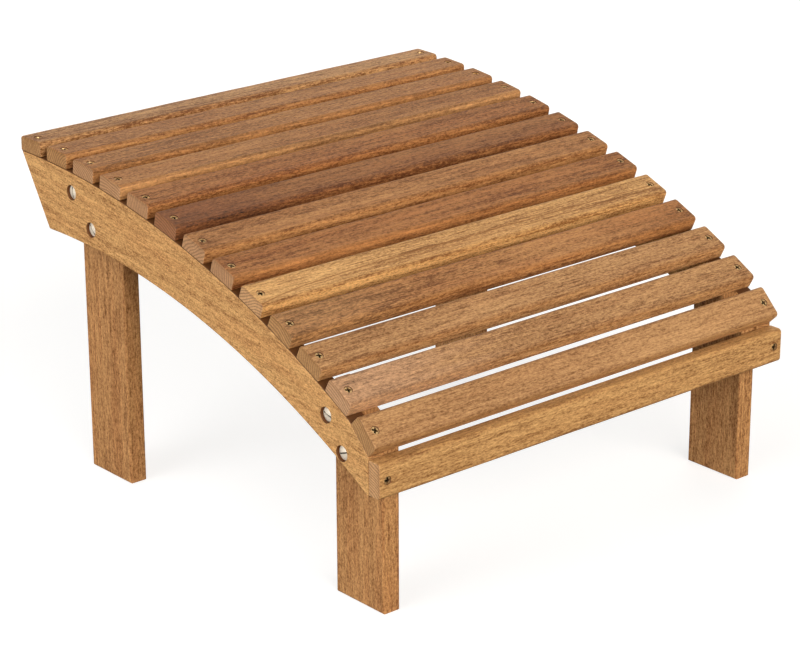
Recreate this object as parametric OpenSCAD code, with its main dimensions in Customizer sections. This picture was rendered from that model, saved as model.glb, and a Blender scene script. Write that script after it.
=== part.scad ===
// Slatted garden footstool, made to stand in front of a deep reclined garden chair.
// Two arched side rails carry a row of crosswise slats and are bolted to four board legs.
// All sizes are in millimetres. +Z is up, +Y points to the tall end that meets the chair,
// and the origin is on the ground under the middle of the stool.

/* [Overall] */
// Width across the outer faces of the side rails, which is also the slats' length
width = 560; // [460:10:660]
// Depth from the front slat's face to the rearmost slat's back edge
depth = 591; // [588:1:594]

/* [Side rails] */
// Thickness of the rail boards
rail_t = 20; // [18:0.5:22]
// Height of the crown of the rails' top edge
arch_h = 345; // [343:0.5:347]
// Radius of the rails' top edge
arch_r = 1092; // [1088:1:1096]
// Radius of the rails' hollow lower edge
under_r = 993; // [985:1:1000]
// Height of the crown of the lower edge
under_h = 268.5; // [266:0.5:271]
// Distance of the lower edge's crown in front of the stool's back
under_set = 70; // [64:1:76]
// Slant of the rails' rear end from the vertical, in degrees
rear_slant = 31; // [26:1:35]
// Height of the lower corner of the seat cut for the nose slat
nose_h = 172.4; // [171:0.2:174]
// Tilt of the seat cut for the nose slat, in degrees
nose_tilt = 45; // [43:0.5:47]

/* [Legs] */
// Thickness of the leg boards
leg_t = 21; // [18:0.5:24]
// Width of a leg seen from the side
leg_w = 71.5; // [68:0.5:75]
// Distance from the stool's back to the middle of the rear legs
rear_leg_set = 115.5; // [112:0.5:118]
// Distance from the stool's front to the middle of the front legs
front_leg_set = 55; // [53.5:0.5:58]
// Radius of the legs' upright edges
leg_edge_r = 2; // [0.5:0.5:4]

/* [Slats] */
// Width of a slat
slat_w = 36.5; // [34:0.5:38]
// Thickness of a slat
slat_t = 16.5; // [15:0.5:18]
// Spacing of the slats along the arch
slat_pitch = 48.2; // [47.8:0.1:48.4]
// Tilt of the rearmost slat, in degrees
first_tilt = 0.75; // [0.6:0.05:0.9]
// Height of the middle of the upright front slat
front_slat_h = 151; // [150:0.5:152]
// Radius of the slats' upper long edges
slat_top_r = 4; // [1:0.5:6]
// Radius of the slats' lower long edges
slat_low_r = 1.5; // [0.5:0.5:3]
// Radius of the slats' upper end edges
slat_end_r = 1; // [0.5:0.5:5]

/* [Fasteners] */
// Diameter of a slat screw's head
screw_head_d = 8.2; // [7.6:0.2:9]
// Diameter of a slat screw's plain shank
screw_d = 4.2; // [3.6:0.1:4.4]
// Length of a slat screw
screw_len = 32; // [28:1:34]
// Depth of a screw head below the slat's face
screw_sink = 0.8; // [0:0.1:1]
// Diameter of a leg bolt's domed head
bolt_head_d = 15; // [13:0.5:16]
// Diameter of the recess that a leg bolt's head sits in
bolt_recess_d = 16.4; // [16.1:0.1:17]
// Diameter of a leg bolt's shank
bolt_d = 6; // [5:0.5:6]
// Depth of a bolt head's crown below the rail's or the leg's face
bolt_sink = 1.4; // [0:0.1:1.6]

/* [Hidden] */
$fn = 96;
SLATS = 14;
ARCH_SLATS = SLATS - 2;
CUT = 1;              // how far a cutter runs past the face it opens
FIT = 0.1;            // clearance round a shank

// Side rails, as points [y, z] in the side plane
back_y = depth / 2;
front_cut_y = -depth / 2 + slat_t;
crown_y = back_y - slat_w / 2 * cos(first_tilt) + arch_r * sin(first_tilt);
arch_c = [crown_y, arch_h - arch_r];
under_c = [back_y - under_set, under_h - under_r];
rear_corner = [back_y - 1, arch_h];
BIG = 2 * depth;      // reach of the cutters that trim a profile

// Legs
leg_drop = 0.5;       // how far the leg tops stay below the rails' top edge
rear_leg_y = back_y - rear_leg_set;
front_leg_y = -back_y + front_leg_set;
// Bolt centres [y, z], two in each leg
REAR_BOLTS = [[203.5, 319], [170, 286]];
FRONT_BOLTS = [[-216, 196], [-239.5, 163.5]];

// Slat screws
screw_x = width / 2 - rail_t / 2;
screw_cone_h = (screw_head_d - screw_d) / 2;
screw_core_r = 1.5;
screw_plain = slat_t - 1;
screw_tip = 3;
cross_w = 1.1;        // arms of the cross recess
cross_len = 4.6;
cross_deep = 1.6;

// Leg bolts and the sleeve nuts that they thread into
head_h = 2.6;
head_rim = 0.6;
recess_h = head_h + bolt_sink;
bolt_reach = 11;      // how far the bolt's end stays from the leg's inner face
sleeve_r = 4;
sleeve_len = 15;
slot_w = 1.6;
slot_deep = 1.1;

// Tilt of slat i, counted from 1 at the back: along the arch, then the nose, then upright
function slat_tilt(i) =
    i <= ARCH_SLATS ? first_tilt + (i - 1) * slat_pitch / arch_r * 180 / PI
    : i == ARCH_SLATS + 1 ? nose_tilt
    : 90;

// Middle of slat i's underside as [y, z]
function slat_seat(i) =
    i <= ARCH_SLATS ? arch_c + arch_r * [-sin(slat_tilt(i)), cos(slat_tilt(i))]
    : i == ARCH_SLATS + 1
        ? [front_cut_y, nose_h] + slat_w / 2 * [cos(nose_tilt), sin(nose_tilt)]
    : [front_cut_y, front_slat_h];

// Colour of slat i: the boards run from light golden to dark reddish brown
function slat_colour(i) = ["#b3763f", "#a06a3c", "#c48a4b", "#bd8048"][i % 4];

// Extrudes a [y, z] outline from x0 over a thickness t
module side_plane(x0, t) {
    translate([x0, 0, 0]) rotate([90, 0, 90]) linear_extrude(t) children();
}

// Stands a shape made round the +Z axis on slat i's face at x, +Z pointing out of the face
module on_slat(i, x) {
    seat = slat_seat(i);
    translate([x, seat[0], seat[1]]) rotate([slat_tilt(i), 0, 0])
        translate([0, 0, slat_t]) children();
}

// Turns a shape made round the +Z axis to point sideways out of the rail, on either side
module on_rail(side, point) {
    mirror([side < 0 ? 1 : 0, 0, 0])
        translate([width / 2, point[0], point[1]]) rotate([0, 90, 0]) children();
}

// The area below the arched top edge and the nose seat, both lowered by drop
module under_arch(drop) {
    difference() {
        translate(arch_c) circle(arch_r - drop, $fn = 360);
        translate([front_cut_y, nose_h - drop]) rotate(nose_tilt)
            translate([-BIG, 0]) square([2 * BIG, BIG]);
    }
}

module rail_outline() {
    difference() {
        intersection() {
            under_arch(0);
            translate([front_cut_y, 0]) square([depth, arch_h]);
        }
        translate(under_c) circle(under_r, $fn = 360);
        translate(rear_corner) rotate(-rear_slant) translate([0, -BIG]) square(2 * BIG);
    }
}

module side_rail(side) {
    color("#c08a4c") difference() {
        side_plane(side < 0 ? -width / 2 : width / 2 - rail_t, rail_t) rail_outline();
        for (p = concat(REAR_BOLTS, FRONT_BOLTS)) on_rail(side, p) {
            translate([0, 0, -recess_h]) cylinder(d = bolt_recess_d, h = recess_h + CUT);
            translate([0, 0, -rail_t - CUT]) cylinder(d = bolt_d + 2 * FIT, h = rail_t + CUT);
        }
        for (i = [1:SLATS]) on_slat(i, side * screw_x)
            translate([0, 0, -screw_sink - screw_len - CUT / 2])
                cylinder(r = screw_core_r + FIT, h = screw_len);
    }
}

module leg(side, mid_y, bolts) {
    inner_x = width / 2 - rail_t - leg_t;
    color("#b27a45") difference() {
        intersection() {
            translate([side * (inner_x + leg_t / 2), mid_y, 0])
                linear_extrude(arch_h) rounded_board(leg_t, leg_w, leg_edge_r);
            side_plane(-width / 2, width) under_arch(leg_drop);
        }
        for (p = bolts) on_rail(side, p) {
            translate([0, 0, -rail_t - leg_t - CUT])
                cylinder(r = sleeve_r + FIT, h = leg_t + 2 * CUT);
            translate([0, 0, -rail_t - leg_t - CUT])
                cylinder(d = bolt_recess_d, h = recess_h + CUT);
        }
    }
}

// A board's section, a by b, centred, with round corners
module rounded_board(a, b, r) {
    square([a - 2 * r, b], center = true);
    square([a, b - 2 * r], center = true);
    for (u = [-1, 1], v = [-1, 1]) translate([u * (a / 2 - r), v * (b / 2 - r)]) circle(r);
}

// A slat's section or its long side, w wide and standing on the origin, with upper corners of
// radius r
module slat_section(w, r) {
    translate([-w / 2, slat_low_r]) square([w, slat_t - slat_low_r - r]);
    translate([-w / 2 + slat_low_r, 0]) square([w - 2 * slat_low_r, slat_t - r]);
    translate([-w / 2 + r, 0]) square([w - 2 * r, slat_t]);
    for (u = [-1, 1]) {
        translate([u * (w / 2 - r), slat_t - r]) circle(r);
        translate([u * (w / 2 - slat_low_r), slat_low_r]) circle(slat_low_r);
    }
}

module slat(i) {
    seat = slat_seat(i);
    color(slat_colour(i)) difference() {
        translate([0, seat[0], seat[1]]) rotate([slat_tilt(i), 0, 0]) intersection() {
            side_plane(-width / 2, width) slat_section(slat_w, slat_top_r);
            translate([0, slat_w / 2, 0]) rotate([90, 0, 0])
                linear_extrude(slat_w) slat_section(width, slat_end_r);
        }
        for (side = [-1, 1]) on_slat(i, side * screw_x) screw_hole();
    }
}

// The clearance hole and countersink for one slat screw
module screw_hole() {
    translate([0, 0, -slat_t - CUT]) cylinder(d = screw_d + 2 * FIT, h = slat_t + CUT);
    translate([0, 0, -screw_sink - screw_cone_h])
        cylinder(r1 = screw_d / 2 + FIT, r2 = screw_head_d / 2 + FIT, h = screw_cone_h);
    translate([0, 0, -screw_sink]) cylinder(d = screw_head_d + 2 * FIT, h = screw_sink + CUT);
}

// One countersunk wood screw, its head's face on the origin and its tip down
module slat_screw() {
    difference() {
        rotate_extrude() polygon([
            [0, 0], [screw_head_d / 2, 0],
            [screw_d / 2, -screw_cone_h], [screw_d / 2, -screw_plain],
            [screw_core_r, -screw_plain], [screw_core_r, screw_tip - screw_len],
            [0, -screw_len]
        ]);
        for (a = [0, 90]) rotate(a) translate([-cross_len / 2, -cross_w / 2, -cross_deep])
            cube([cross_len, cross_w, cross_deep + CUT]);
    }
}

module slat_screws() {
    color("#c9a24f") for (i = [1:SLATS], side = [-1, 1])
        on_slat(i, side * screw_x) translate([0, 0, -screw_sink]) slat_screw();
}

// A slotted domed head, its seat at z = 0 and its crown at z = head_h
module domed_head(slot_angle) {
    dome_h = head_h - head_rim;
    dome_r = (pow(bolt_head_d / 2, 2) + pow(dome_h, 2)) / (2 * dome_h);
    difference() {
        intersection() {
            cylinder(d = bolt_head_d, h = head_h);
            translate([0, 0, head_h - dome_r]) sphere(dome_r, $fn = 180);
        }
        rotate(slot_angle) translate([-bolt_head_d / 2 - CUT, -slot_w / 2, head_h - slot_deep])
            cube([bolt_head_d + 2 * CUT, slot_w, slot_deep + CUT]);
    }
}

// One leg bolt, sunk below the origin with its shank down
module leg_bolt(slot_angle) {
    shank = rail_t + leg_t - recess_h - bolt_reach;
    translate([0, 0, -recess_h]) {
        domed_head(slot_angle);
        translate([0, 0, -shank]) cylinder(d = bolt_d, h = shank);
    }
}

module leg_bolts() {
    points = concat(REAR_BOLTS, FRONT_BOLTS);
    color("#cdaa5c") for (side = [-1, 1], k = [0:3])
        on_rail(side, points[k]) leg_bolt(25 + 40 * k);
}

// One sleeve nut, sunk above the origin with its open end up
module leg_sleeve_nut(slot_angle) {
    translate([0, 0, bolt_sink]) difference() {
        union() {
            translate([0, 0, head_h]) mirror([0, 0, 1]) domed_head(slot_angle);
            translate([0, 0, head_h]) cylinder(r = sleeve_r, h = sleeve_len);
        }
        translate([0, 0, head_h]) cylinder(d = bolt_d + FIT, h = sleeve_len + CUT);
    }
}

module leg_sleeve_nuts() {
    points = concat(REAR_BOLTS, FRONT_BOLTS);
    color("#cdaa5c") for (side = [-1, 1], k = [0:3])
        on_rail(side, points[k]) translate([0, 0, -rail_t - leg_t]) leg_sleeve_nut(70 * k);
}

side_rail(-1);  // side_rail_left
side_rail(1);  // side_rail_right
leg(-1, rear_leg_y, REAR_BOLTS);  // rear_leg_left
leg(1, rear_leg_y, REAR_BOLTS);  // rear_leg_right
leg(-1, front_leg_y, FRONT_BOLTS);  // front_leg_left
leg(1, front_leg_y, FRONT_BOLTS);  // front_leg_right
slat(1);  // slat_01
slat(2);  // slat_02
slat(3);  // slat_03
slat(4);  // slat_04
slat(5);  // slat_05
slat(6);  // slat_06
slat(7);  // slat_07
slat(8);  // slat_08
slat(9);  // slat_09
slat(10);  // slat_10
slat(11);  // slat_11
slat(12);  // slat_12
slat(13);  // slat_13
slat(14);  // slat_14
slat_screws();
leg_bolts();
leg_sleeve_nuts();
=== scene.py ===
import math
import random

import bmesh
import bpy
import numpy as np
from mathutils import Matrix, Quaternion, Vector
from mathutils.geometry import delaunay_2d_cdt, normal


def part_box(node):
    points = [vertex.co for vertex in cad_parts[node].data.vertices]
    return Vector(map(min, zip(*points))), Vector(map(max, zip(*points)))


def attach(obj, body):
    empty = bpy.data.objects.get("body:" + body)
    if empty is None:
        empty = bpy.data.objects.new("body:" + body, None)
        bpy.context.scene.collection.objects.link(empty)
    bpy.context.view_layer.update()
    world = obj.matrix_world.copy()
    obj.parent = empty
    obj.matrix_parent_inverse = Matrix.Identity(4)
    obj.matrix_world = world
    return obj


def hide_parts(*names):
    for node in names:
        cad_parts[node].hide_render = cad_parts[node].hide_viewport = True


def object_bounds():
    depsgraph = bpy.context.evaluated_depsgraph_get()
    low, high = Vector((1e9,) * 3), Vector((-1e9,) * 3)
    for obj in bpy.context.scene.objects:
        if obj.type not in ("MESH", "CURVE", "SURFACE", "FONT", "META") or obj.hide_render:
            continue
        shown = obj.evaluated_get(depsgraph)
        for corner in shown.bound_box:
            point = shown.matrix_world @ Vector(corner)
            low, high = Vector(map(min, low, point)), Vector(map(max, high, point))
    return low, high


# The garden footstool's looks: every board is a softly rounded plank with its own teak
# figure, and the fasteners are brass. All lengths are in metres, in the frame's own axes.

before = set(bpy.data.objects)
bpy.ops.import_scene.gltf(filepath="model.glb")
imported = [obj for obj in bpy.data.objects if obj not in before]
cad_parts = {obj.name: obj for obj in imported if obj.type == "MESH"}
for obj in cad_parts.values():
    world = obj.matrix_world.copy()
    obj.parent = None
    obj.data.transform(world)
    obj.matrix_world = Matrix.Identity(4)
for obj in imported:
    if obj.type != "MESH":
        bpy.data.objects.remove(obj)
CAD_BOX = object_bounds()

MM = 0.001
HALF_WIDTH = CAD_BOX[1][0]
ALONG_X = Vector((1, 0, 0))
SIDES = (("left", -1), ("right", 1))
SLATS = sorted(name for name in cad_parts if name.startswith("slat_0")
               or name.startswith("slat_1"))

# Edges and holes, as the CAD has them
SLAT_TOP_R = 4 * MM
SLAT_END_R = 0.8 * MM
SLAT_LOW_R = 1.5 * MM
SLAT_CORNER_R = 0.8 * MM
RAIL_EDGE_R = 1.2 * MM
LEG_EDGE_R = 2 * MM
LEG_DROP = 0.5 * MM          # the leg tops stay this far below the rails' top edge
SCREW_R = 4.1 * MM
SCREW_SINK = 0.8 * MM
SCREW_CONE = 2 * MM
SCREW_LENGTH = 32 * MM
HOLE_GAP = 0.15 * MM
BOLT_R = 7.5 * MM
BOLT_HEAD = 2.6 * MM
BOLT_RIM = 0.6 * MM
RECESS_R = 8.2 * MM
SCREW_HOLE = [(SCREW_R + HOLE_GAP + 0.2 * MM, 0), (SCREW_R + HOLE_GAP, -0.25 * MM),
              (SCREW_R + HOLE_GAP, -SCREW_SINK),
              (SCREW_R - SCREW_CONE, -SCREW_SINK - SCREW_CONE - HOLE_GAP)]
BOLT_SINK = 1.4 * MM
BOLT_LENGTH = 28.6 * MM
NUT_LENGTH = 17.6 * MM
BOLT_RECESS = [(RECESS_R + 0.2 * MM, 0), (RECESS_R, -0.2 * MM), (RECESS_R, -BOLT_HEAD),
               (RECESS_R, -BOLT_HEAD - BOLT_SINK)]
SCREW_X = sum(corner.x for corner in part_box("side_rail_right")) / 2
CROSS_ARM = 3.0 * MM         # from a screw's middle to the end of its cross recess
CROSS_HALF = 1.0 * MM
CROSS_DEEP = 1.6 * MM
SLOT_HALF = 0.8 * MM
SLOT_DEEP = 1.1 * MM
FLIP = Matrix.Rotation(math.pi, 4, "X")
SHARP_ANGLE = math.radians(35)


# ---------------------------------------------------------------- reading the frame

def corners(node):
    """A CAD node's vertices as rows of x, y, z."""
    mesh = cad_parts[node].data
    flat = np.zeros(len(mesh.vertices) * 3)
    mesh.vertices.foreach_get("co", flat)
    return flat.reshape(-1, 3)


def broad_normal(node):
    """The outward normal that the largest area of a slat's faces shares, square to X."""
    areas = {}
    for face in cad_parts[node].data.polygons:
        n = face.normal
        if abs(n.x) > 0.01:
            continue
        if n.z - 0.3 * n.y < 0:
            n = -n
        key = (round(n.y, 3), round(n.z, 3))
        areas[key] = areas.get(key, 0) + face.area
    y, z = max(areas, key=areas.get)
    return Vector((0, y, z)).normalized()


def slat_axes(node):
    """A slat's place, its underside's middle at the origin, and its length, width, thickness."""
    out = broad_normal(node)
    turn = Matrix((ALONG_X, out.cross(ALONG_X), out)).transposed()
    local = corners(node) @ np.array(turn)
    low, high = local.min(0), local.max(0)
    middle = (low + high) / 2
    middle[2] = low[2]
    place = Matrix.Translation(turn @ Vector(middle)) @ turn.to_4x4()
    return place, *(high - low)


def side_outline(node, x):
    """The outer loop, as (y, z) points, of the flat face that a rail has at x."""
    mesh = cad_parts[node].data
    ids, places, ends = {}, [], {}
    for v in mesh.vertices:
        key = (round(v.co.y, 6), round(v.co.z, 6))
        if key not in ids:
            ids[key] = len(places)
            places.append(key)
    for face in mesh.polygons:
        points = [mesh.vertices[i].co for i in face.vertices]
        if any(abs(p.x - x) > 1e-5 for p in points):
            continue
        loop = [ids[(round(p.y, 6), round(p.z, 6))] for p in points]
        for a, b in zip(loop, loop[1:] + loop[:1]):
            if (b, a) in ends:
                del ends[(b, a)]
            else:
                ends[(a, b)] = True
    following = dict(ends.keys())
    loops = []
    while following:
        start, at = following.popitem()
        loop = [start]
        while at != start:
            loop.append(at)
            at = following.pop(at)
        loops.append([places[i] for i in loop])

    def girth(loop):
        return sum(math.dist(a, b) for a, b in zip(loop, loop[1:] + loop[:1]))

    best = np.array(max(loops, key=girth))
    y, z = best.T
    if np.sum(y * np.roll(z, -1) - z * np.roll(y, -1)) < 0:
        best = best[::-1]
    return best


def loose_parts(node):
    """The middle of each separate solid in a CAD node."""
    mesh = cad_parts[node].data
    keys = [tuple(round(c, 6) for c in v.co) for v in mesh.vertices]
    parent = {k: k for k in keys}

    def top(k):
        while parent[k] != k:
            parent[k] = parent[parent[k]]
            k = parent[k]
        return k

    for edge in mesh.edges:
        a, b = (top(keys[i]) for i in edge.vertices)
        parent[a] = b
    groups = {}
    for k in parent:
        groups.setdefault(top(k), []).append(k)
    return [Vector((np.min(g, 0) + np.max(g, 0)) / 2) for g in groups.values()]


# ---------------------------------------------------------------- mesh work

def pit(shape, place, profile, steps=40):
    """Sinks a round pit along -Z of its place, through (radius, height) points. Returns the
    vertices of its rim."""
    rings = [[shape.verts.new(place @ Vector((r * math.cos(math.tau * k / steps),
                                              r * math.sin(math.tau * k / steps), z)))
              for k in range(steps)] for r, z in profile]
    # Every ring below the rim is marked -1, which the materials paint dark: painted shade in the
    # pit
    wear_and_painted_shade = shape.verts.layers.float["wear_and_painted_shade"]
    for upper, lower in zip(rings, rings[1:]):
        for k in range(steps):
            shape.faces.new((upper[k - 1], upper[k], lower[k], lower[k - 1]))
            lower[k][wear_and_painted_shade] = -1
    shape.faces.new(rings[-1])
    return rings[0]


def cap(shape, rim, wells):
    """Fills a flat rim with triangles, but not inside the rims of its wells."""
    loops = [rim] + wells
    verts = [vert for loop in loops for vert in loop]
    level = normal([vert.co for vert in rim]).rotation_difference(Vector((0, 0, 1)))
    flat = [(level @ vert.co).to_2d() for vert in verts]
    edges, first = [], 0
    for loop in loops:
        edges += [(first + i, first + (i + 1) % len(loop)) for i in range(len(loop))]
        first += len(loop)
    centres = []
    for well in wells:
        points = [(level @ vert.co).to_2d() for vert in well]
        centre = sum(points, Vector((0, 0))) / len(points)
        centres.append((centre, (points[0] - centre).length))
    _, _, triangles, source, _, _ = delaunay_2d_cdt(flat, edges, [], 1, 1e-7)
    for triangle in triangles:
        ids = [source[i][0] for i in triangle]
        middle = sum((flat[i] for i in ids), Vector((0, 0))) / 3
        if all((middle - centre).length > radius for centre, radius in centres):
            shape.faces.new([verts[i] for i in ids])


def loft(name, rings, pits=(), pitted=-1):
    """A closed solid through rings of points, each with its share of edge wear and of painted
    edge shade. The pits, as (place, profile) pairs, are sunk into the cap on the last ring, or
    on the first with pitted=0."""
    mesh = bpy.data.meshes.new(name)
    shape = bmesh.new()
    wear_and_painted_shade = shape.verts.layers.float.new("wear_and_painted_shade")
    loops = []
    for points, share in rings:
        loops.append([shape.verts.new(p) for p in points])
        for vert in loops[-1]:
            vert[wear_and_painted_shade] = share
    for low, high in zip(loops, loops[1:]):
        for i in range(len(low)):
            shape.faces.new((low[i - 1], low[i], high[i], high[i - 1]))
    for end in (0, -1):
        wells = [pit(shape, *spot) for spot in pits] if end == pitted else []
        cap(shape, loops[end], wells)
    bmesh.ops.recalc_face_normals(shape, faces=shape.faces)
    shape.to_mesh(mesh)
    shape.free()
    return mesh


def rounding(radius, steps):
    """(inset, distance from the face, share of edge wear and painted edge shade) from a face to
    the side it rounds into.
    """
    for k in range(steps + 1):
        a = math.pi / 2 * k / steps
        yield radius * (1 - math.sin(a)), radius * (1 - math.cos(a)), math.sin(2 * a)


def inset(outline, by):
    """A closed outline, counter-clockwise, moved inwards by small distances."""
    ahead = np.roll(outline, -1, 0) - outline
    ahead /= np.linalg.norm(ahead, axis=1)[:, None]
    behind = np.roll(ahead, 1, 0)
    inward = np.stack([-(ahead[:, 1] + behind[:, 1]), ahead[:, 0] + behind[:, 0]], 1)
    inward /= np.linalg.norm(inward, axis=1)[:, None]
    lean = inward[:, 0] * -ahead[:, 1] + inward[:, 1] * ahead[:, 0]
    return outline + inward * (by / np.maximum(lean, 0.4))[:, None]


def room_for_edge(outline, pits):
    """How far each point of an outline can be eased before it comes near a pit."""
    room = np.full(len(outline), 1.0)
    for place, profile in pits:
        away = np.linalg.norm(outline - place.translation.yz, axis=1) - profile[0][0]
        room = np.minimum(room, 0.6 * away)
    return room


def fine_outline(outline, parts=5, corner=12):
    """An outline with its gentle bends drawn as curves, and its corners kept."""
    points = []
    count = len(outline)
    turn = []
    for i in range(count):
        a, b = outline[i] - outline[i - 1], outline[(i + 1) % count] - outline[i]
        turn.append(abs(math.degrees(math.atan2(a[0] * b[1] - a[1] * b[0], a @ b))))
    for i in range(count):
        j = (i + 1) % count
        p1, p2 = outline[i], outline[j]
        p0 = outline[i - 1] if turn[i] < corner else 2 * p1 - p2
        p3 = outline[(j + 1) % count] if turn[j] < corner else 2 * p2 - p1
        for k in range(parts):
            t = k / parts
            points.append(0.5 * (2 * p1 + (p2 - p0) * t + (2 * p0 - 5 * p1 + 4 * p2 - p3) * t**2
                                 + (3 * p1 - p0 - 3 * p2 + p3) * t**3))
    return np.array(points)


def plank_mesh(name, outline, x0, x1, radius, pits, pitted):
    """A board between x0 and x1 with a side outline of (y, z) points and eased edges."""
    rings = [(radius + 0.3 * MM, 0, 0)] + list(rounding(radius, 4))
    sections = [(d, x0 + off, w) for d, off, w in rings]
    sections += [(0, x, 0) for x in np.linspace(x0 + 2 * radius, x1 - 2 * radius, 3)]
    sections += [(d, x1 - off, w) for d, off, w in reversed(rings)]
    room = room_for_edge(outline, pits)
    lofted = []
    for by, x, wear_and_painted_shade in sections:
        flat = inset(outline, np.minimum(by, room))
        lofted.append((np.column_stack([np.full(len(flat), x), flat]), wear_and_painted_shade))
    return loft(name, lofted, pits, pitted)


def drop_in(radius, off):
    """How far an edge of a radius lies inside the side, at a depth below the face."""
    return radius - math.sqrt(max(radius**2 - max(radius - off, 0) ** 2, 0))


def slat_mesh(name, place, length, width, thickness, rng, pits):
    """A slat, its long edges run round with a cutter and then sanded by hand."""
    phases = [rng.uniform(0, math.tau) for _ in range(4)]
    spans = np.linspace(-1, 1, 41)[1:-1]

    def hand(u, side):
        """How much rounder than average the long edge is at u, by hand sanding."""
        first, second = phases[:2] if side > 0 else phases[2:]
        return 0.1 * math.sin(9 * u + first) + 0.07 * math.sin(23 * u + second)

    def ring(z, end_in, side_in, wear_and_painted_shade, top):
        a, b = length / 2 - end_in, width / 2 - side_in
        r = SLAT_CORNER_R + 0.25 * side_in
        points = []
        for sx, sy, start in ((1, -1, -90), (1, 1, 0), (-1, 1, 90), (-1, -1, 180)):
            for k in range(5):
                t = math.radians(start + 22.5 * k)
                points.append((sx * (a - r) + r * math.cos(t), sy * (b - r) + r * math.sin(t)))
            if sx == sy:
                for u in spans if sx < 0 else -spans:
                    eased = side_in * (1 + hand(u, sy)) if top else side_in
                    points.append((u * (a - r), sy * (width / 2 - eased)))
            else:
                for v in np.linspace(-1, 1, 7)[1:-1]:
                    points.append((sx * a, sx * v * (b - r)))
        return [place @ Vector((x, y, z)) for x, y in points], wear_and_painted_shade

    rings = [ring(0, SLAT_END_R + 0.5 * MM, SLAT_LOW_R + 2 * MM, 0, False)]
    for side_in, off, wear_and_painted_shade in rounding(SLAT_LOW_R, 4):
        rings.append(ring(off, drop_in(SLAT_END_R, off), side_in, wear_and_painted_shade, False))
    rings.append(ring((SLAT_LOW_R + thickness - SLAT_TOP_R) / 2, 0, 0, 0, False))
    for side_in, off, wear_and_painted_shade in reversed(list(rounding(SLAT_TOP_R, 9))):
        rings.append(ring(thickness - off, drop_in(SLAT_END_R, off), side_in, wear_and_painted_shade, True))
    rings.append(ring(thickness, SLAT_END_R + 0.5 * MM, SLAT_TOP_R + 2 * MM, 0, False))
    return loft(name, rings, pits)


def spun(name, profile, steps=40):
    """A solid of revolution round +Z from (radius, height) points that start and end on it."""
    mesh = bpy.data.meshes.new(name)
    shape = bmesh.new()
    shape.verts.layers.float.new("wear_and_painted_shade")
    inner = profile[1:-1]
    tip, tail = (shape.verts.new((0, 0, profile[k][1])) for k in (0, -1))
    rings = [[shape.verts.new((r * math.cos(math.tau * k / steps),
                               r * math.sin(math.tau * k / steps), z))
              for k in range(steps)] for r, z in inner]
    for k in range(steps):
        j = (k + 1) % steps
        shape.faces.new((tip, rings[0][k], rings[0][j]))
        for upper, lower in zip(rings, rings[1:]):
            shape.faces.new((upper[k], lower[k], lower[j], upper[j]))
        shape.faces.new((tail, rings[-1][j], rings[-1][k]))
    bmesh.ops.recalc_face_normals(shape, faces=shape.faces)
    shape.to_mesh(mesh)
    shape.free()
    return mesh


def prism(outline, low, high, spread=1.0):
    """A straight cutter over an (x, y) outline, its top end wider by a spread."""
    return loft("prism", [([Vector((x * k, y * k, z)) for x, y in outline], -1)
                          for z, k in ((low, 1), (high, spread))])


def joined(name, parts):
    """One mesh from (mesh, place) pairs."""
    whole = bmesh.new()
    for mesh, place in parts:
        copy = mesh.copy()
        copy.transform(place)
        whole.from_mesh(copy)
        bpy.data.meshes.remove(copy)
    mesh = bpy.data.meshes.new(name)
    whole.to_mesh(mesh)
    whole.free()
    return mesh


def carved(mesh, cutters):
    """The mesh with every cutter taken out of it. The floors of the cuts are marked -1, which
    the
    materials paint dark: painted shade in the cuts."""
    scene = bpy.context.scene.collection
    body = bpy.data.objects.new("body", mesh)
    tool = bpy.data.objects.new("tool", joined("tool", cutters))
    for obj in (body, tool):
        scene.objects.link(obj)
    cut = body.modifiers.new("cut", "BOOLEAN")
    cut.operation, cut.solver, cut.object = "DIFFERENCE", "EXACT", tool
    bpy.context.view_layer.update()
    graph = bpy.context.evaluated_depsgraph_get()
    result = bpy.data.meshes.new_from_object(
        body.evaluated_get(graph), preserve_all_data_layers=True, depsgraph=graph)
    result.name = mesh.name
    floor = min(v.co.z for v in tool.data.vertices)
    for v, wear_and_painted_shade in zip(result.vertices, result.attributes["wear_and_painted_shade"].data):
        if abs(v.co.z - floor) < 1e-6:
            wear_and_painted_shade.value = -1
    for obj in (body, tool):
        data = obj.data
        bpy.data.objects.remove(obj)
        if data is not mesh:
            bpy.data.meshes.remove(data)
    return result


def piece(name, mesh, material, nodes):
    """Shows a mesh as one piece of the stool, standing for its CAD nodes."""
    mesh.materials.clear()
    mesh.materials.append(material)
    mesh.shade_smooth()
    mesh.set_sharp_from_angle(angle=SHARP_ANGLE)
    obj = bpy.data.objects.new(name, mesh)
    bpy.context.scene.collection.objects.link(obj)
    normals = obj.modifiers.new("normals", "WEIGHTED_NORMAL")
    normals.keep_sharp = True
    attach(obj, "root")
    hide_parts(*nodes)


# ---------------------------------------------------------------- materials

END_LINE = 3.0               # spacing of the lines in the end grain, in mm


def linear(code, share=1.0):
    """A colour written as #rrggbb, as scene-linear RGBA, scaled by a share."""
    levels = [int(code[i:i + 2], 16) / 255 for i in (1, 3, 5)]
    curve = [c / 12.92 if c <= 0.04045 else ((c + 0.055) / 1.055) ** 2.4 for c in levels]
    return (*(share * c for c in curve), 1.0)


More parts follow.
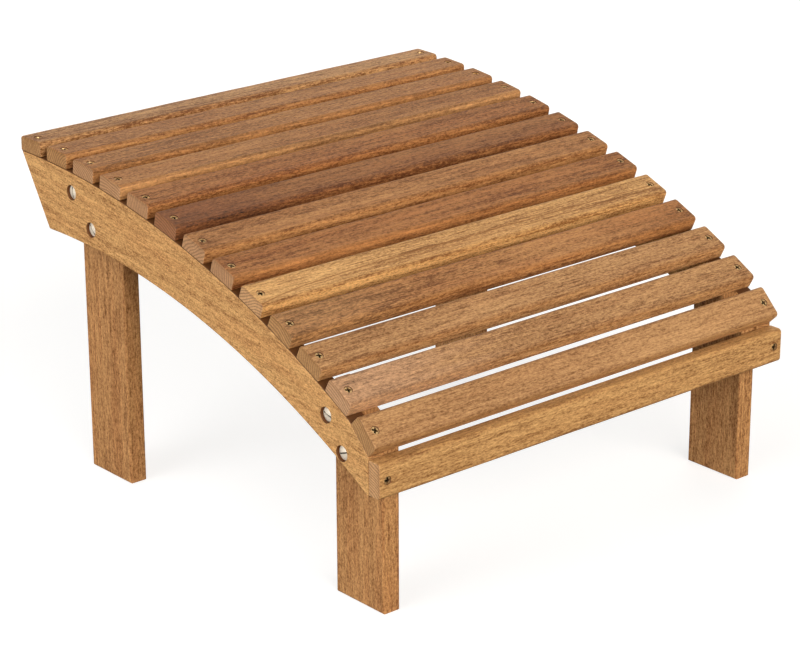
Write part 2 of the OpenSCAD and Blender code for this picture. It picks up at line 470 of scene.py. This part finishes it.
class Shader:
    """A material's node tree, built socket by socket."""

    def __init__(self, name):
        self.material = bpy.data.materials.new(name)
        self.material.use_nodes = True
        self.tree = self.material.node_tree
        self.surface = self.tree.nodes["Principled BSDF"]

    def put(self, socket, value):
        if isinstance(value, bpy.types.NodeSocket):
            self.tree.links.new(value, socket)
        else:
            socket.default_value = value

    def node(self, kind, settings=None, **inputs):
        new = self.tree.nodes.new("ShaderNode" + kind)
        for key, value in (settings or {}).items():
            setattr(new, key, value)
        for key, value in inputs.items():
            self.put(new.inputs[key.replace("_", " ")], value)
        return new

    def math(self, operation, a, b=0.0, c=0.0, clamp=False):
        new = self.node("Math", {"operation": operation, "use_clamp": clamp})
        for socket, value in zip(new.inputs, (a, b, c)):
            self.put(socket, value)
        return new.outputs[0]

    def vector(self, operation, a, b=(0, 0, 0)):
        new = self.node("VectorMath", {"operation": operation})
        self.put(new.inputs[0], a)
        self.put(new.inputs[1], b)
        return new.outputs[0]

    def facing(self, direction):
        """How squarely the surface faces along a direction, either way: 0 to 1."""
        new = self.node("VectorMath", {"operation": "DOT_PRODUCT"})
        self.put(new.inputs[0], self.node("NewGeometry").outputs["Normal"])
        self.put(new.inputs[1], direction)
        return self.math("ABSOLUTE", new.outputs["Value"])

    def noise(self, place, detail=2.0, rough=0.55):
        """Noise of unit scale at a place that is already scaled; factor and colour."""
        new = self.node("TexNoise", {"noise_dimensions": "3D"}, Vector=place, Scale=1.0,
                        Detail=detail, Roughness=rough)
        return new.outputs

    def rise(self, value, start, end):
        """0 below start, 1 above end, smooth between."""
        new = self.node("MapRange", {"interpolation_type": "SMOOTHSTEP"}, Value=value,
                        From_Min=start, From_Max=end)
        return new.outputs[0]

    def mix(self, share, a, b, blend="MIX"):
        new = self.node("Mix", {"data_type": "RGBA", "blend_type": blend})
        for socket, value in zip((new.inputs[0], new.inputs[6], new.inputs[7]), (share, a, b)):
            self.put(socket, value)
        return new.outputs[2]

    def ramp(self, value, stops):
        new = self.node("ValToRGB", Fac=value)
        band = new.color_ramp
        band.elements[0].position, band.elements[0].color = stops[0]
        band.elements[1].position, band.elements[1].color = stops[-1]
        for place, colour in stops[1:-1]:
            band.elements.new(place).color = colour
        return new.outputs[0]


def tinted(rgba, red, green, blue):
    """A linear colour with each channel scaled."""
    return (rgba[0] * red, rgba[1] * green, rgba[2] * blue, 1.0)


def teak(name, place, tone, contrast=1.0, red=0.5, pith=(30, -60), lean=(0.0, 0.02), ring=6.0,
         lines=0.5, flecks=0.5, drift=0.5, short=1.0, streaks=(), veins=(), ends=(), end=None,
         stain_and_painted_shade=0.0, side_painted_light=0.0, seed=0):
    """Teak for one board. place turns the board's own axes (grain, width, thickness) into the
    frame's. tone is its mean colour, contrast scales its light and dark, and red how much of
    it turns reddish. pith (mm) is where the tree's heart lies across and below the board, lean
    its slopes along it, and ring the growth rings' spacing in mm. lines, flecks and drift say
    how strong the dark ring lines, the pores and the slow change of tone are, and short how
    much shorter than usual the fibres look. A streak is
    (place across, half its width, both in mm, colour, share), a vein is (place across, how far
    it starts from there at the left end, over what length it gets there, half its width, all in
    mm, share), and an end is (place along where it starts, where it is full, in mm, colour,
    share). end is the colour of the sawn ends; the next argument is how much painted shade
    darkens the upward faces, and the one after it how much painted light brightens the sawn
    sides."""
    s = Shader(name)
    spot = s.node("TexCoord").outputs["Object"]
    own = s.node("Mapping", {"vector_type": "TEXTURE"}, Vector=spot,
                 Location=place.translation, Rotation=place.to_euler("XYZ")).outputs[0]
    rng = random.Random(seed)
    log = s.vector("ADD", own, tuple(rng.uniform(-3, 3) for _ in range(3)))

    def scaled(along, across):
        return s.vector("MULTIPLY", log, (along, across, across))

    # Growth rings: distance from the pith, bent by a slow wave and a quick one
    wave = s.vector("SUBTRACT", s.noise(scaled(3.5, 16), 2.0)["Color"], (0.5, 0.5, 0.5))
    quick = s.vector("SUBTRACT", s.noise(scaled(22, 45), 1.0)["Color"], (0.5, 0.5, 0.5))
    bent = s.vector("ADD", own, s.vector("MULTIPLY", wave, (0, 0.020, 0.020)))
    bent = s.vector("ADD", bent, s.vector("MULTIPLY", quick, (0, 0.0035, 0.0035)))
    bent = s.node("SeparateXYZ", Vector=bent).outputs
    across = s.math("MULTIPLY_ADD", bent[0], lean[0],
                    s.math("SUBTRACT", bent[1], pith[0] * MM))
    deep = s.math("MULTIPLY_ADD", bent[0], lean[1], s.math("SUBTRACT", bent[2], pith[1] * MM))
    radius = s.math("SQRT", s.math("ADD", s.math("MULTIPLY", across, across),
                                   s.math("MULTIPLY", deep, deep)))
    years = s.math("DIVIDE", radius, ring * MM)
    band = s.node("TexNoise", {"noise_dimensions": "1D"}, W=s.math("ADD", years, seed * 7.3),
                  Scale=1.1, Detail=3.0, Roughness=0.6).outputs[0]
    part = s.math("FRACT", years)
    late = s.math("MULTIPLY", s.rise(part, 0.62, 0.93),
                  s.math("SUBTRACT", 1.0, s.rise(part, 0.95, 1.0)))
    late = s.math("MULTIPLY", late, s.rise(band, 0.42, 0.66))
    late = s.math("MULTIPLY", late, s.rise(s.noise(scaled(14, 60), 1.0)[0], 0.35, 0.6))

    # Fibres, from hand-wide clouds down to the pores
    slow = s.noise(scaled(4, 32), 2.0)[0]
    strand = s.noise(scaled(11 * short, 190), 3.0, 0.8)[0]
    fibre = s.noise(scaled(40 * short, 430), 3.0, 0.85)[0]
    grit = s.noise(scaled(230 * short, 560), 2.0, 0.8)[0]
    pores = s.noise(scaled(62 * short, 1150), 1.0)[0]
    fleck = s.rise(pores, 0.56, 0.66)
    hair = s.rise(s.noise(scaled(7 * short, 620), 1.0)[0], 0.61, 0.68)

    def swung(tone_so_far, value, share):
        return s.math("MULTIPLY_ADD", s.math("SUBTRACT", value, 0.5), share * contrast,
                      tone_so_far)

    level = swung(0.5, band, 0.65)
    level = swung(level, slow, 1.2 * drift)
    level = swung(level, strand, 1.15)
    level = swung(level, fibre, 1.8)
    level = swung(level, grit, 2.3)
    level = s.math("MULTIPLY_ADD", late, -0.5 * lines, level)
    level = s.math("MULTIPLY_ADD", hair, -0.35 * lines, level)
    level = s.math("MULTIPLY_ADD", fleck, -0.24 * flecks, level)
    mean = linear(tone)
    colour = s.ramp(level, [(0.0, tinted(mean, 0.40, 0.29, 0.20)),
                            (0.5, mean), (1.0, tinted(mean, 1.5, 1.62, 1.7))])
    blush = s.rise(s.noise(scaled(5, 70), 2.0)[0], 0.42, 0.68)
    blush = s.math("MULTIPLY", blush, red)
    colour = s.mix(blush, colour, s.mix(1.0, colour, (0.93, 0.80, 0.74, 1), "MULTIPLY"))

    # Marks of this one board: streaks, thin dark veins, and tones that change towards an end
    plain = s.node("SeparateXYZ", Vector=own).outputs
    swing = s.math("MULTIPLY", s.math("SUBTRACT", slow, 0.5), 14 * MM)
    for middle, half, code, share in streaks:
        away = s.math("ABSOLUTE", s.math("SUBTRACT", s.math("ADD", plain[1], swing),
                                         middle * MM))
        near = s.math("SUBTRACT", 1.0, s.rise(away, 0.45 * half * MM, 1.3 * half * MM))
        near = s.math("MULTIPLY", near, s.math("MULTIPLY_ADD", strand, 1.2, 0.2, clamp=True))
        shaded = s.mix(1.0, linear(code), s.math("MULTIPLY_ADD", level, 0.8, 0.6), "MULTIPLY")
        colour = s.mix(s.math("MULTIPLY", near, share), colour, shaded)
    for middle, start, fade, half, share in veins:
        run = s.math("MULTIPLY_ADD", plain[0], -1 / (fade * MM), -HALF_WIDTH / (fade * MM))
        track = s.math("MULTIPLY_ADD", s.math("EXPONENT", run), start * MM, middle * MM)
        away = s.math("ABSOLUTE", s.math("SUBTRACT", s.math("MULTIPLY_ADD", swing, 0.35,
                                                            plain[1]), track))
        near = s.math("SUBTRACT", 1.0, s.rise(away, 0.3 * half * MM, 1.2 * half * MM))
        near = s.math("MULTIPLY", near, s.math("MULTIPLY_ADD", fibre, 1.6, -0.1, clamp=True))
        colour = s.mix(s.math("MULTIPLY", near, share), colour, tinted(mean, 0.5, 0.34, 0.2))
    for start, full, code, share in ends:
        wander = s.math("MULTIPLY_ADD", s.math("SUBTRACT", slow, 0.5), 0.25, plain[0])
        if full < start:
            wander = s.math("MULTIPLY", wander, -1.0)
            start, full = -start, -full
        near = s.math("MULTIPLY", s.rise(wander, start * MM, full * MM), share)
        shaded = s.mix(1.0, linear(code), s.math("MULTIPLY_ADD", level, 0.9, 0.55), "MULTIPLY")
        colour = s.mix(near, colour, shaded)

    # End grain: paler, with the rings seen end on and open pores
    end_face = s.rise(s.facing(place.col[0].xyz), 0.6, 0.9)
    ring_line = s.math("PINGPONG", s.math("DIVIDE", radius, MM), END_LINE / 2)
    grey = s.math("MULTIPLY_ADD", s.rise(ring_line, 0.15, 1.1), 0.44, 0.72)
    dots = s.rise(s.noise(s.vector("MULTIPLY", log, (300, 1300, 1300)), 1.0)[0], 0.52, 0.66)
    grey = s.math("MULTIPLY_ADD", dots, -0.2, grey)
    pale = s.mix(0.6, colour, linear(end) if end else tinted(mean, 1.22, 1.27, 1.3))
    colour = s.mix(end_face, colour, s.mix(1.0, pale, grey, "MULTIPLY"))

    # Painted shade: faces turned upwards are darkened, for the shade on the rail's top edge
    # between the slats
    if stain_and_painted_shade:
        upward = s.node("SeparateXYZ", Vector=s.node("NewGeometry").outputs["Normal"])
        painted_top_shade = s.math("MULTIPLY", s.rise(upward.outputs[2], 0.35, 0.7), stain_and_painted_shade)
        colour = s.mix(painted_top_shade, colour, tinted(mean, 0.17, 0.11, 0.06))

    # Painted light and shade: the sawn side faces are painted paler, the rounded edges darker to
    # damp the highlight they catch, and the drilled recesses dark as shade
    painted_side_light = s.math("MULTIPLY", s.rise(s.facing(place.col[1].xyz), 0.8, 0.98), side_painted_light)
    colour = s.mix(painted_side_light, colour, s.mix(1.0, colour, (1.42, 1.42, 1.36, 1), "MULTIPLY"))
    wear_and_painted_shade = s.node("Attribute", {"attribute_name": "wear_and_painted_shade"}).outputs["Fac"]
    worn_and_painted_shade = s.math("MAXIMUM", wear_and_painted_shade, 0.0)
    # Painted shade on the rounded edges, to damp the highlight they catch
    colour = s.mix(s.math("MULTIPLY", worn_and_painted_shade, 0.8), colour,
                   s.mix(1.0, colour, (0.80, 0.74, 0.66, 1), "MULTIPLY"))
    # Painted shade: recess walls and floors, and cut floors, painted nearly black-brown
    painted_recess_shade = s.math("MULTIPLY", wear_and_painted_shade, -0.95, clamp=True)
    colour = s.mix(painted_recess_shade, colour, tinted(mean, 0.2, 0.12, 0.06))
    s.put(s.surface.inputs["Base Color"], colour)
    s.put(s.surface.inputs["Specular IOR Level"], 0.35)

    rough = s.math("MULTIPLY_ADD", fibre, 0.24, 0.42)
    rough = s.math("MULTIPLY_ADD", worn_and_painted_shade, -0.08, rough)
    s.put(s.surface.inputs["Roughness"], s.math("MULTIPLY_ADD", fleck, 0.15, rough, clamp=True))
    height = s.math("MULTIPLY_ADD", fleck, -0.5, s.math("MULTIPLY_ADD", late, 0.35, fibre))
    bump = s.node("Bump", Height=height, Strength=0.4, Distance=0.25 * MM)
    s.put(s.surface.inputs["Normal"], bump.outputs[0])
    return s.material


def brass(name, code, rough, metal):
    """Brass that has been handled: clean metal with faint brushing and tarnish, and painted
    shade on the floors of its cuts.
    """
    s = Shader(name)
    spot = s.node("TexCoord").outputs["Object"]
    stain_and_painted_shade = s.noise(s.vector("MULTIPLY", spot, (420, 420, 420)), 3.0)[0]
    brush = s.noise(s.vector("MULTIPLY", spot, (1500, 3500, 3500)), 2.0)[0]
    worn_and_painted_shade = s.mix(s.rise(stain_and_painted_shade, 0.5, 0.8), linear(code), linear(code, 0.62))
    wear_and_painted_shade = s.node("Attribute", {"attribute_name": "wear_and_painted_shade"}).outputs["Fac"]
    # Painted shade: below-zero marks, at the floors of the slots and cross recesses, turn the
    # brass nearly black
    cut = s.rise(s.math("MULTIPLY", wear_and_painted_shade, -1.0), 0.05, 0.4)
    s.put(s.surface.inputs["Base Color"], s.mix(cut, worn_and_painted_shade, linear(code, 0.05)))
    s.put(s.surface.inputs["Metallic"], metal)
    s.put(s.surface.inputs["Roughness"], s.math("MULTIPLY_ADD", stain_and_painted_shade, 0.18, rough))
    bump = s.node("Bump", Height=brush, Strength=0.15, Distance=0.05 * MM)
    s.put(s.surface.inputs["Normal"], bump.outputs[0])
    return s.material


def plain(name, colour, rough):
    """A plain surface for the studio floor."""
    s = Shader(name)
    s.put(s.surface.inputs["Base Color"], colour)
    s.put(s.surface.inputs["Roughness"], rough)
    s.put(s.surface.inputs["Specular IOR Level"], 0.1)
    return s.material


# ---------------------------------------------------------------- the boards

# The woods, as a few named tones: boards from light to dark, marks and rails, sawn ends
HONEY, TAN, BROWN, RUSSET, UMBER = "#b88c58", "#a47a50", "#986a40", "#8c5c34", "#805430"
DUSKY, ASHEN, GOLDEN, AMBER = "#704428", "#b48c6c", "#c89860", "#b08050"
PALE_END, TAWNY_END, RED_END = "#c49870", "#b48858", "#a87450"

# Each slat's figure, from the rear one to the front one
SLAT_LOOKS = [
    dict(tone=TAN, end=TAWNY_END, pith=(60, -20), ring=6, seed=11, contrast=1.3, drift=0.8),
    dict(tone=BROWN, end=TAWNY_END, pith=(-45, -30), ring=7, seed=12, contrast=1.1),
    dict(tone=BROWN, end=PALE_END, pith=(35, -50), ring=6, seed=13, contrast=1.1, drift=0.7,
         streaks=[(-17, 4, BROWN, 0.9)]),
    dict(tone=BROWN, end=PALE_END, pith=(10, -45), ring=8, seed=14,
         streaks=[(-17, 4, TAN, 0.8)]),
    dict(tone=RUSSET, end=PALE_END, pith=(70, -25), ring=7, seed=15, contrast=1.2),
    dict(tone=UMBER, end=RED_END, pith=(5, -38), ring=8, seed=16, contrast=1.15, drift=1.0,
         ends=[(-90, -230, DUSKY, 0.85)]),
    dict(tone=BROWN, end=PALE_END, pith=(-50, -50), ring=9, seed=17, drift=0.8,
         streaks=[(-9, 3, UMBER, 0.5)]),
    dict(tone=RUSSET, end=PALE_END, pith=(76, -27), ring=6, seed=18, drift=1.1,
         streaks=[(-15, 4, BROWN, 0.6)]),
    dict(tone=HONEY, end=PALE_END, pith=(-54, -70), ring=10, lines=0.8, red=0.2, seed=19,
         contrast=0.85, drift=0.8,
         veins=[(-2.5, -13, 45, 1.1, 1.0), (-8.5, 0, 50, 0.8, 0.6)]),
    dict(tone=BROWN, end=TAWNY_END, pith=(4, -40), ring=8, lines=0.9, seed=20, drift=1.1,
         ends=[(-100, -240, TAN, 0.6), (120, 240, RUSSET, 0.6)]),
    dict(tone=TAN, end=TAWNY_END, pith=(65, -35), ring=8, red=0.3, seed=21, contrast=0.85,
         drift=0.8),
    dict(tone=TAN, end=PALE_END, pith=(8, -46), ring=9, red=0.3, seed=22, contrast=0.9,
         ends=[(-60, -240, ASHEN, 0.7)]),
    dict(tone=TAN, end=TAWNY_END, pith=(20, -80), ring=9, lines=0.3, red=0.2, seed=23,
         contrast=0.72),
    dict(tone=HONEY, end=PALE_END, pith=(-60, -40), ring=8, lines=0.35, red=0.2, seed=24,
         contrast=0.75, side_painted_light=0.0),
]
# How much painted light makes the slats' narrow long faces paler
SLAT_SIDE_PAINTED_LIGHT = 0.8
# The rails get full painted shade on their upward faces, the top edge between the slats
RAIL_LOOK = dict(tone=GOLDEN, end=UMBER, contrast=0.65, pith=(150, 30), ring=7, lines=0.4,
                 flecks=1.0, drift=0.5, short=2.2, red=0.35, stain_and_painted_shade=1.0)
RAIL_GRAIN = math.radians(7)  # slope of the rail boards' grain
LEG_LOOK = dict(tone=AMBER, contrast=0.85, pith=(50, 45), ring=6, lines=0.5, drift=0.4,
                short=1.4)


def make_slats():
    for node, look in zip(SLATS, SLAT_LOOKS):
        place, length, width, thickness = slat_axes(node)
        pits = [(place @ Matrix.Translation((side * SCREW_X, 0, thickness)), SCREW_HOLE)
                for _, side in SIDES]
        mesh = slat_mesh(node, place, length, width, thickness, random.Random(node), pits)
        wood = teak(node + "_teak", place, **{"side_painted_light": SLAT_SIDE_PAINTED_LIGHT, **look})
        piece(node + "_board", mesh, wood, [node])


def sideways(side, point, depth=0.0):
    """Turns +Z to point out of the stool's side, at a (y, z) point, depth inside its face."""
    turn = Matrix(((0, 0, side), (0, 1, 0), (-side, 0, 0)))
    return Matrix.Translation((side * (HALF_WIDTH - depth), *point)) @ turn.to_4x4()


def board_axes(middle, grain):
    """A board's own axes: grain along a direction in the side plane, thickness along X."""
    out = Vector((1, 0, 0))
    turn = Matrix((grain, out.cross(grain), out)).transposed()
    return Matrix.Translation(middle) @ turn.to_4x4()


def make_rails():
    for word, side in SIDES:
        node = "side_rail_" + word
        low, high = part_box(node)
        outline = fine_outline(side_outline(node, side * HALF_WIDTH))
        pits = [(sideways(side, point), BOLT_RECESS) for s, point in BOLT_POINTS if s == side]
        mesh = plank_mesh(node, outline, low.x, high.x, RAIL_EDGE_R, pits, min(-side, 0))
        grain = Vector((0, math.cos(RAIL_GRAIN), math.sin(RAIL_GRAIN)))
        place = board_axes((low + high) / 2, grain)
        look = teak(node + "_teak", place, seed=31 + side, **RAIL_LOOK)
        piece(node + "_board", mesh, look, [node])


def rail_top(outline, y):
    """Height of a rail's top edge over y."""
    count = len(outline)
    heights = []
    for i in range(count):
        (y0, z0), (y1, z1) = outline[i], outline[(i + 1) % count]
        if y0 != y1 and min(y0, y1) <= y <= max(y0, y1):
            heights.append(z0 + (z1 - z0) * (y - y0) / (y1 - y0))
    return max(heights)


def make_legs():
    for word, side in SIDES:
        rail = "side_rail_" + word
        edge = side_outline(rail, side * HALF_WIDTH)
        for end in ("rear", "front"):
            node = f"{end}_leg_{word}"
            low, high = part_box(node)
            tops = [(y, rail_top(edge, y) - LEG_DROP) for y in np.linspace(high.y, low.y, 9)]
            outline = np.array([(low.y, low.z), (high.y, low.z)] + tops)
            depth = HALF_WIDTH - min(abs(low.x), abs(high.x))
            pits = [(sideways(side, point, depth) @ FLIP, BOLT_RECESS)
                    for s, point in BOLT_POINTS if s == side and low.y < point[0] < high.y]
            mesh = plank_mesh(node, outline, low.x, high.x, LEG_EDGE_R, pits, min(side, 0))
            place = board_axes((low + high) / 2, Vector((0, 0, 1)))
            look = teak(node + "_teak", place, seed=40 + len(bpy.data.materials), **LEG_LOOK)
            piece(node + "_board", mesh, look, [node])


# ---------------------------------------------------------------- the fasteners

def domed_profile(radius, shank_r, shank):
    """Half the outline of a domed head with its shank, crown at height 0."""
    dome = BOLT_HEAD - BOLT_RIM
    big = (radius**2 + dome**2) / (2 * dome)
    crown = [(radius * k / 10, math.sqrt(big**2 - (radius * k / 10) ** 2) - big)
             for k in range(11)]
    return crown + [(radius, -BOLT_HEAD), (shank_r, -BOLT_HEAD), (shank_r, -shank),
                    (0, -shank)]


def make_bolts(material):
    heads, nuts = [], []
    half, reach = SLOT_HALF, 2 * BOLT_R
    slot = prism([(-reach, -half), (reach, -half), (reach, half), (-reach, half)],
                 -SLOT_DEEP, MM)
    cuts = [(slot, Matrix.Identity(4))]
    bolt = carved(spun("bolt", domed_profile(BOLT_R, 3 * MM, BOLT_LENGTH), 64), cuts)
    nut = carved(spun("nut", domed_profile(BOLT_R, 4 * MM, NUT_LENGTH), 64), cuts)
    leg_face = HALF_WIDTH - abs(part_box("rear_leg_left")[1].x)
    for count, (side, point) in enumerate(BOLT_POINTS):
        turned = Matrix.Rotation(side * math.radians(70 + 35 * (count % 4)), 4, "Z")
        heads.append((bolt, sideways(side, point, BOLT_SINK) @ turned))
        nuts.append((nut, sideways(side, point, leg_face - BOLT_SINK) @ FLIP @ turned))
    piece("leg_bolts_brass", joined("leg_bolts", heads), material, ["leg_bolts"])
    piece("leg_sleeve_nuts_brass", joined("leg_sleeve_nuts", nuts), material,
          ["leg_sleeve_nuts"])


def make_screws(material):
    rim = 0.3 * MM
    head = spun("screw", [(0, 0), (SCREW_R - 2 * rim, 0), (SCREW_R - rim, -0.1 * rim),
                          (SCREW_R, -rim), (SCREW_R - SCREW_CONE, -SCREW_CONE),
                          (2.1 * MM, -15 * MM), (1.5 * MM, -15.2 * MM), (1.5 * MM, -29 * MM),
                          (0, -SCREW_LENGTH)], 32)
    arm, half = CROSS_ARM, CROSS_HALF
    cross = []
    for k in range(4):
        turn = Matrix.Rotation(math.pi / 2 * k, 2)
        cross += [turn @ Vector(corner) for corner in ((half, half), (half, arm), (-half, arm))]
    screw = carved(head, [(prism(cross, -CROSS_DEEP, 0.4 * MM, 1.15), Matrix.Identity(4))])
    rng = random.Random(5)
    parts = []
    for node in SLATS:
        place, _, _, thickness = slat_axes(node)
        for _, side in SIDES:
            spot = Matrix.Translation((side * SCREW_X, 0, thickness - SCREW_SINK))
            parts.append((screw, place @ spot @ Matrix.Rotation(rng.uniform(0, 1.6), 4, "Z")))
    piece("slat_screws_brass", joined("slat_screws", parts), material,
          ["slat_screws"])


# ---------------------------------------------------------------- the studio

FLOOR_REACH = 30             # half the floor's side, in metres
FLOOR_SINK = 0.2 * MM        # keeps the floor's face off the feet's
SUN_SPREAD = math.radians(50)
WARM = (1, 0.95, 0.87)


def towards(azimuth, elevation):
    """The direction of an azimuth and elevation in degrees: azimuth 0 is in front of the
    stool, and -90 to its left."""
    a, e = math.radians(azimuth), math.radians(elevation)
    return Vector((math.sin(a) * math.cos(e), -math.cos(a) * math.cos(e), math.sin(e)))


def sun(name, azimuth, elevation, strength, colour=(1, 1, 1), glints=True):
    """A wide soft light far off, with or without its reflection in glossy surfaces."""
    lamp = bpy.data.lights.new(name, "SUN")
    lamp.energy, lamp.angle, lamp.color = strength, SUN_SPREAD, colour
    light = bpy.data.objects.new(name, lamp)
    light.rotation_euler = towards(azimuth, elevation).to_track_quat("Z", "Y").to_euler()
    light.visible_glossy = glints
    bpy.context.scene.collection.objects.link(light)


def make_floor():
    """A plain white floor that glows a little, and neither tints nor reflects in the stool."""
    floor = bpy.data.meshes.new("floor")
    reach = FLOOR_REACH
    floor.from_pydata([(-reach, -reach, 0), (reach, -reach, 0), (reach, reach, 0),
                       (-reach, reach, 0)], [], [(0, 1, 2, 3)])
    white = plain("floor_white", (0.42, 0.42, 0.42, 1), 0.9)
    surface = white.node_tree.nodes["Principled BSDF"]
    surface.inputs["Emission Color"].default_value = (1, 1, 1, 1)
    surface.inputs["Emission Strength"].default_value = 0.72
    floor.materials.append(white)
    ground = bpy.data.objects.new("floor", floor)
    ground.location.z = -FLOOR_SINK
    ground.visible_diffuse = ground.visible_glossy = False
    bpy.context.scene.collection.objects.link(ground)


def make_lights():
    """Soft lights at the photograph's side, and a weak one for the stool's back."""
    sun("side_light", -88, 13, 2.3)
    sun("front_light", -12, 20, 3.6, WARM)
    sun("high_light", -110, 50, 0.6)
    sun("back_light", 130, 12, 1.9, WARM, glints=False)


def make_world():
    """A warm sky that mostly shows in reflections, and plain white where the camera sees it."""
    world = bpy.data.worlds.new("studio")
    bpy.context.scene.world = world
    world.use_nodes = True
    tree = world.node_tree
    sky = tree.nodes["Background"]
    up = tree.nodes.new("ShaderNodeSeparateXYZ")
    ramp = tree.nodes.new("ShaderNodeValToRGB")
    shift = tree.nodes.new("ShaderNodeMath")
    shift.operation = "MULTIPLY_ADD"
    shift.inputs[1].default_value = shift.inputs[2].default_value = 0.5
    place = tree.nodes.new("ShaderNodeTexCoord")
    tree.links.new(place.outputs["Generated"], up.inputs[0])
    tree.links.new(up.outputs[2], shift.inputs[0])
    tree.links.new(shift.outputs[0], ramp.inputs[0])
    tree.links.new(ramp.outputs[0], sky.inputs["Color"])
    ramp.color_ramp.elements[0].position = 0.44
    ramp.color_ramp.elements[0].color = (0.25, 0.20, 0.16, 1)
    ramp.color_ramp.elements[1].position = 0.52
    ramp.color_ramp.elements[1].color = (1, 0.9, 0.78, 1)
    path = tree.nodes.new("ShaderNodeLightPath")
    power = tree.nodes.new("ShaderNodeMath")
    power.operation = "MULTIPLY_ADD"
    tree.links.new(path.outputs["Is Glossy Ray"], power.inputs[0])
    power.inputs[1].default_value = 0.7
    power.inputs[2].default_value = 0.08
    tree.links.new(power.outputs[0], sky.inputs["Strength"])
    backdrop = tree.nodes.new("ShaderNodeBackground")
    seen = tree.nodes.new("ShaderNodeMixShader")
    backdrop.inputs["Color"].default_value = (1, 1, 1, 1)
    tree.links.new(path.outputs["Is Camera Ray"], seen.inputs[0])
    tree.links.new(sky.outputs[0], seen.inputs[1])
    tree.links.new(backdrop.outputs[0], seen.inputs[2])
    tree.links.new(seen.outputs[0], tree.nodes["World Output"].inputs["Surface"])


# Where the photograph was taken from: angles in degrees, the lens in mm
CAMERA_AZIMUTH, CAMERA_ELEVATION, CAMERA_ROLL = -40.6, 20.4, -0.2
CAMERA_DISTANCE = 2.94
CAMERA_AIM = Vector((-0.007, -0.007, -0.025))  # from the middle of the stool's box
SENSOR_WIDTH, FOCAL_LENGTH = 36, 123


def make_camera():
    low, high = CAD_BOX
    aim = (Vector(low) + Vector(high)) / 2 + CAMERA_AIM
    back = towards(CAMERA_AZIMUTH, CAMERA_ELEVATION)
    roll = Quaternion((0, 0, 1), math.radians(CAMERA_ROLL))
    lens = bpy.data.cameras.new("camera")
    lens.sensor_width, lens.lens = SENSOR_WIDTH, FOCAL_LENGTH
    camera = bpy.data.objects.new("camera", lens)
    camera.location = aim + CAMERA_DISTANCE * back
    camera.rotation_euler = ((-back).to_track_quat("-Z", "Y") @ roll).to_euler()
    bpy.context.scene.collection.objects.link(camera)
    bpy.context.scene.camera = camera


BOLT_POINTS = sorted((1 if p.x > 0 else -1, (round(p.y, 5), round(p.z, 5)))
                     for p in loose_parts("leg_bolts"))

bpy.context.scene.view_settings.view_transform = "Standard"
make_camera()
make_floor()
make_lights()
make_world()
make_slats()
make_rails()
make_legs()
make_bolts(brass("bolt_brass_metal", "#fff2de", 0.25, 0.25))
make_screws(brass("screw_brass_metal", "#e8c790", 0.22, 0.9))
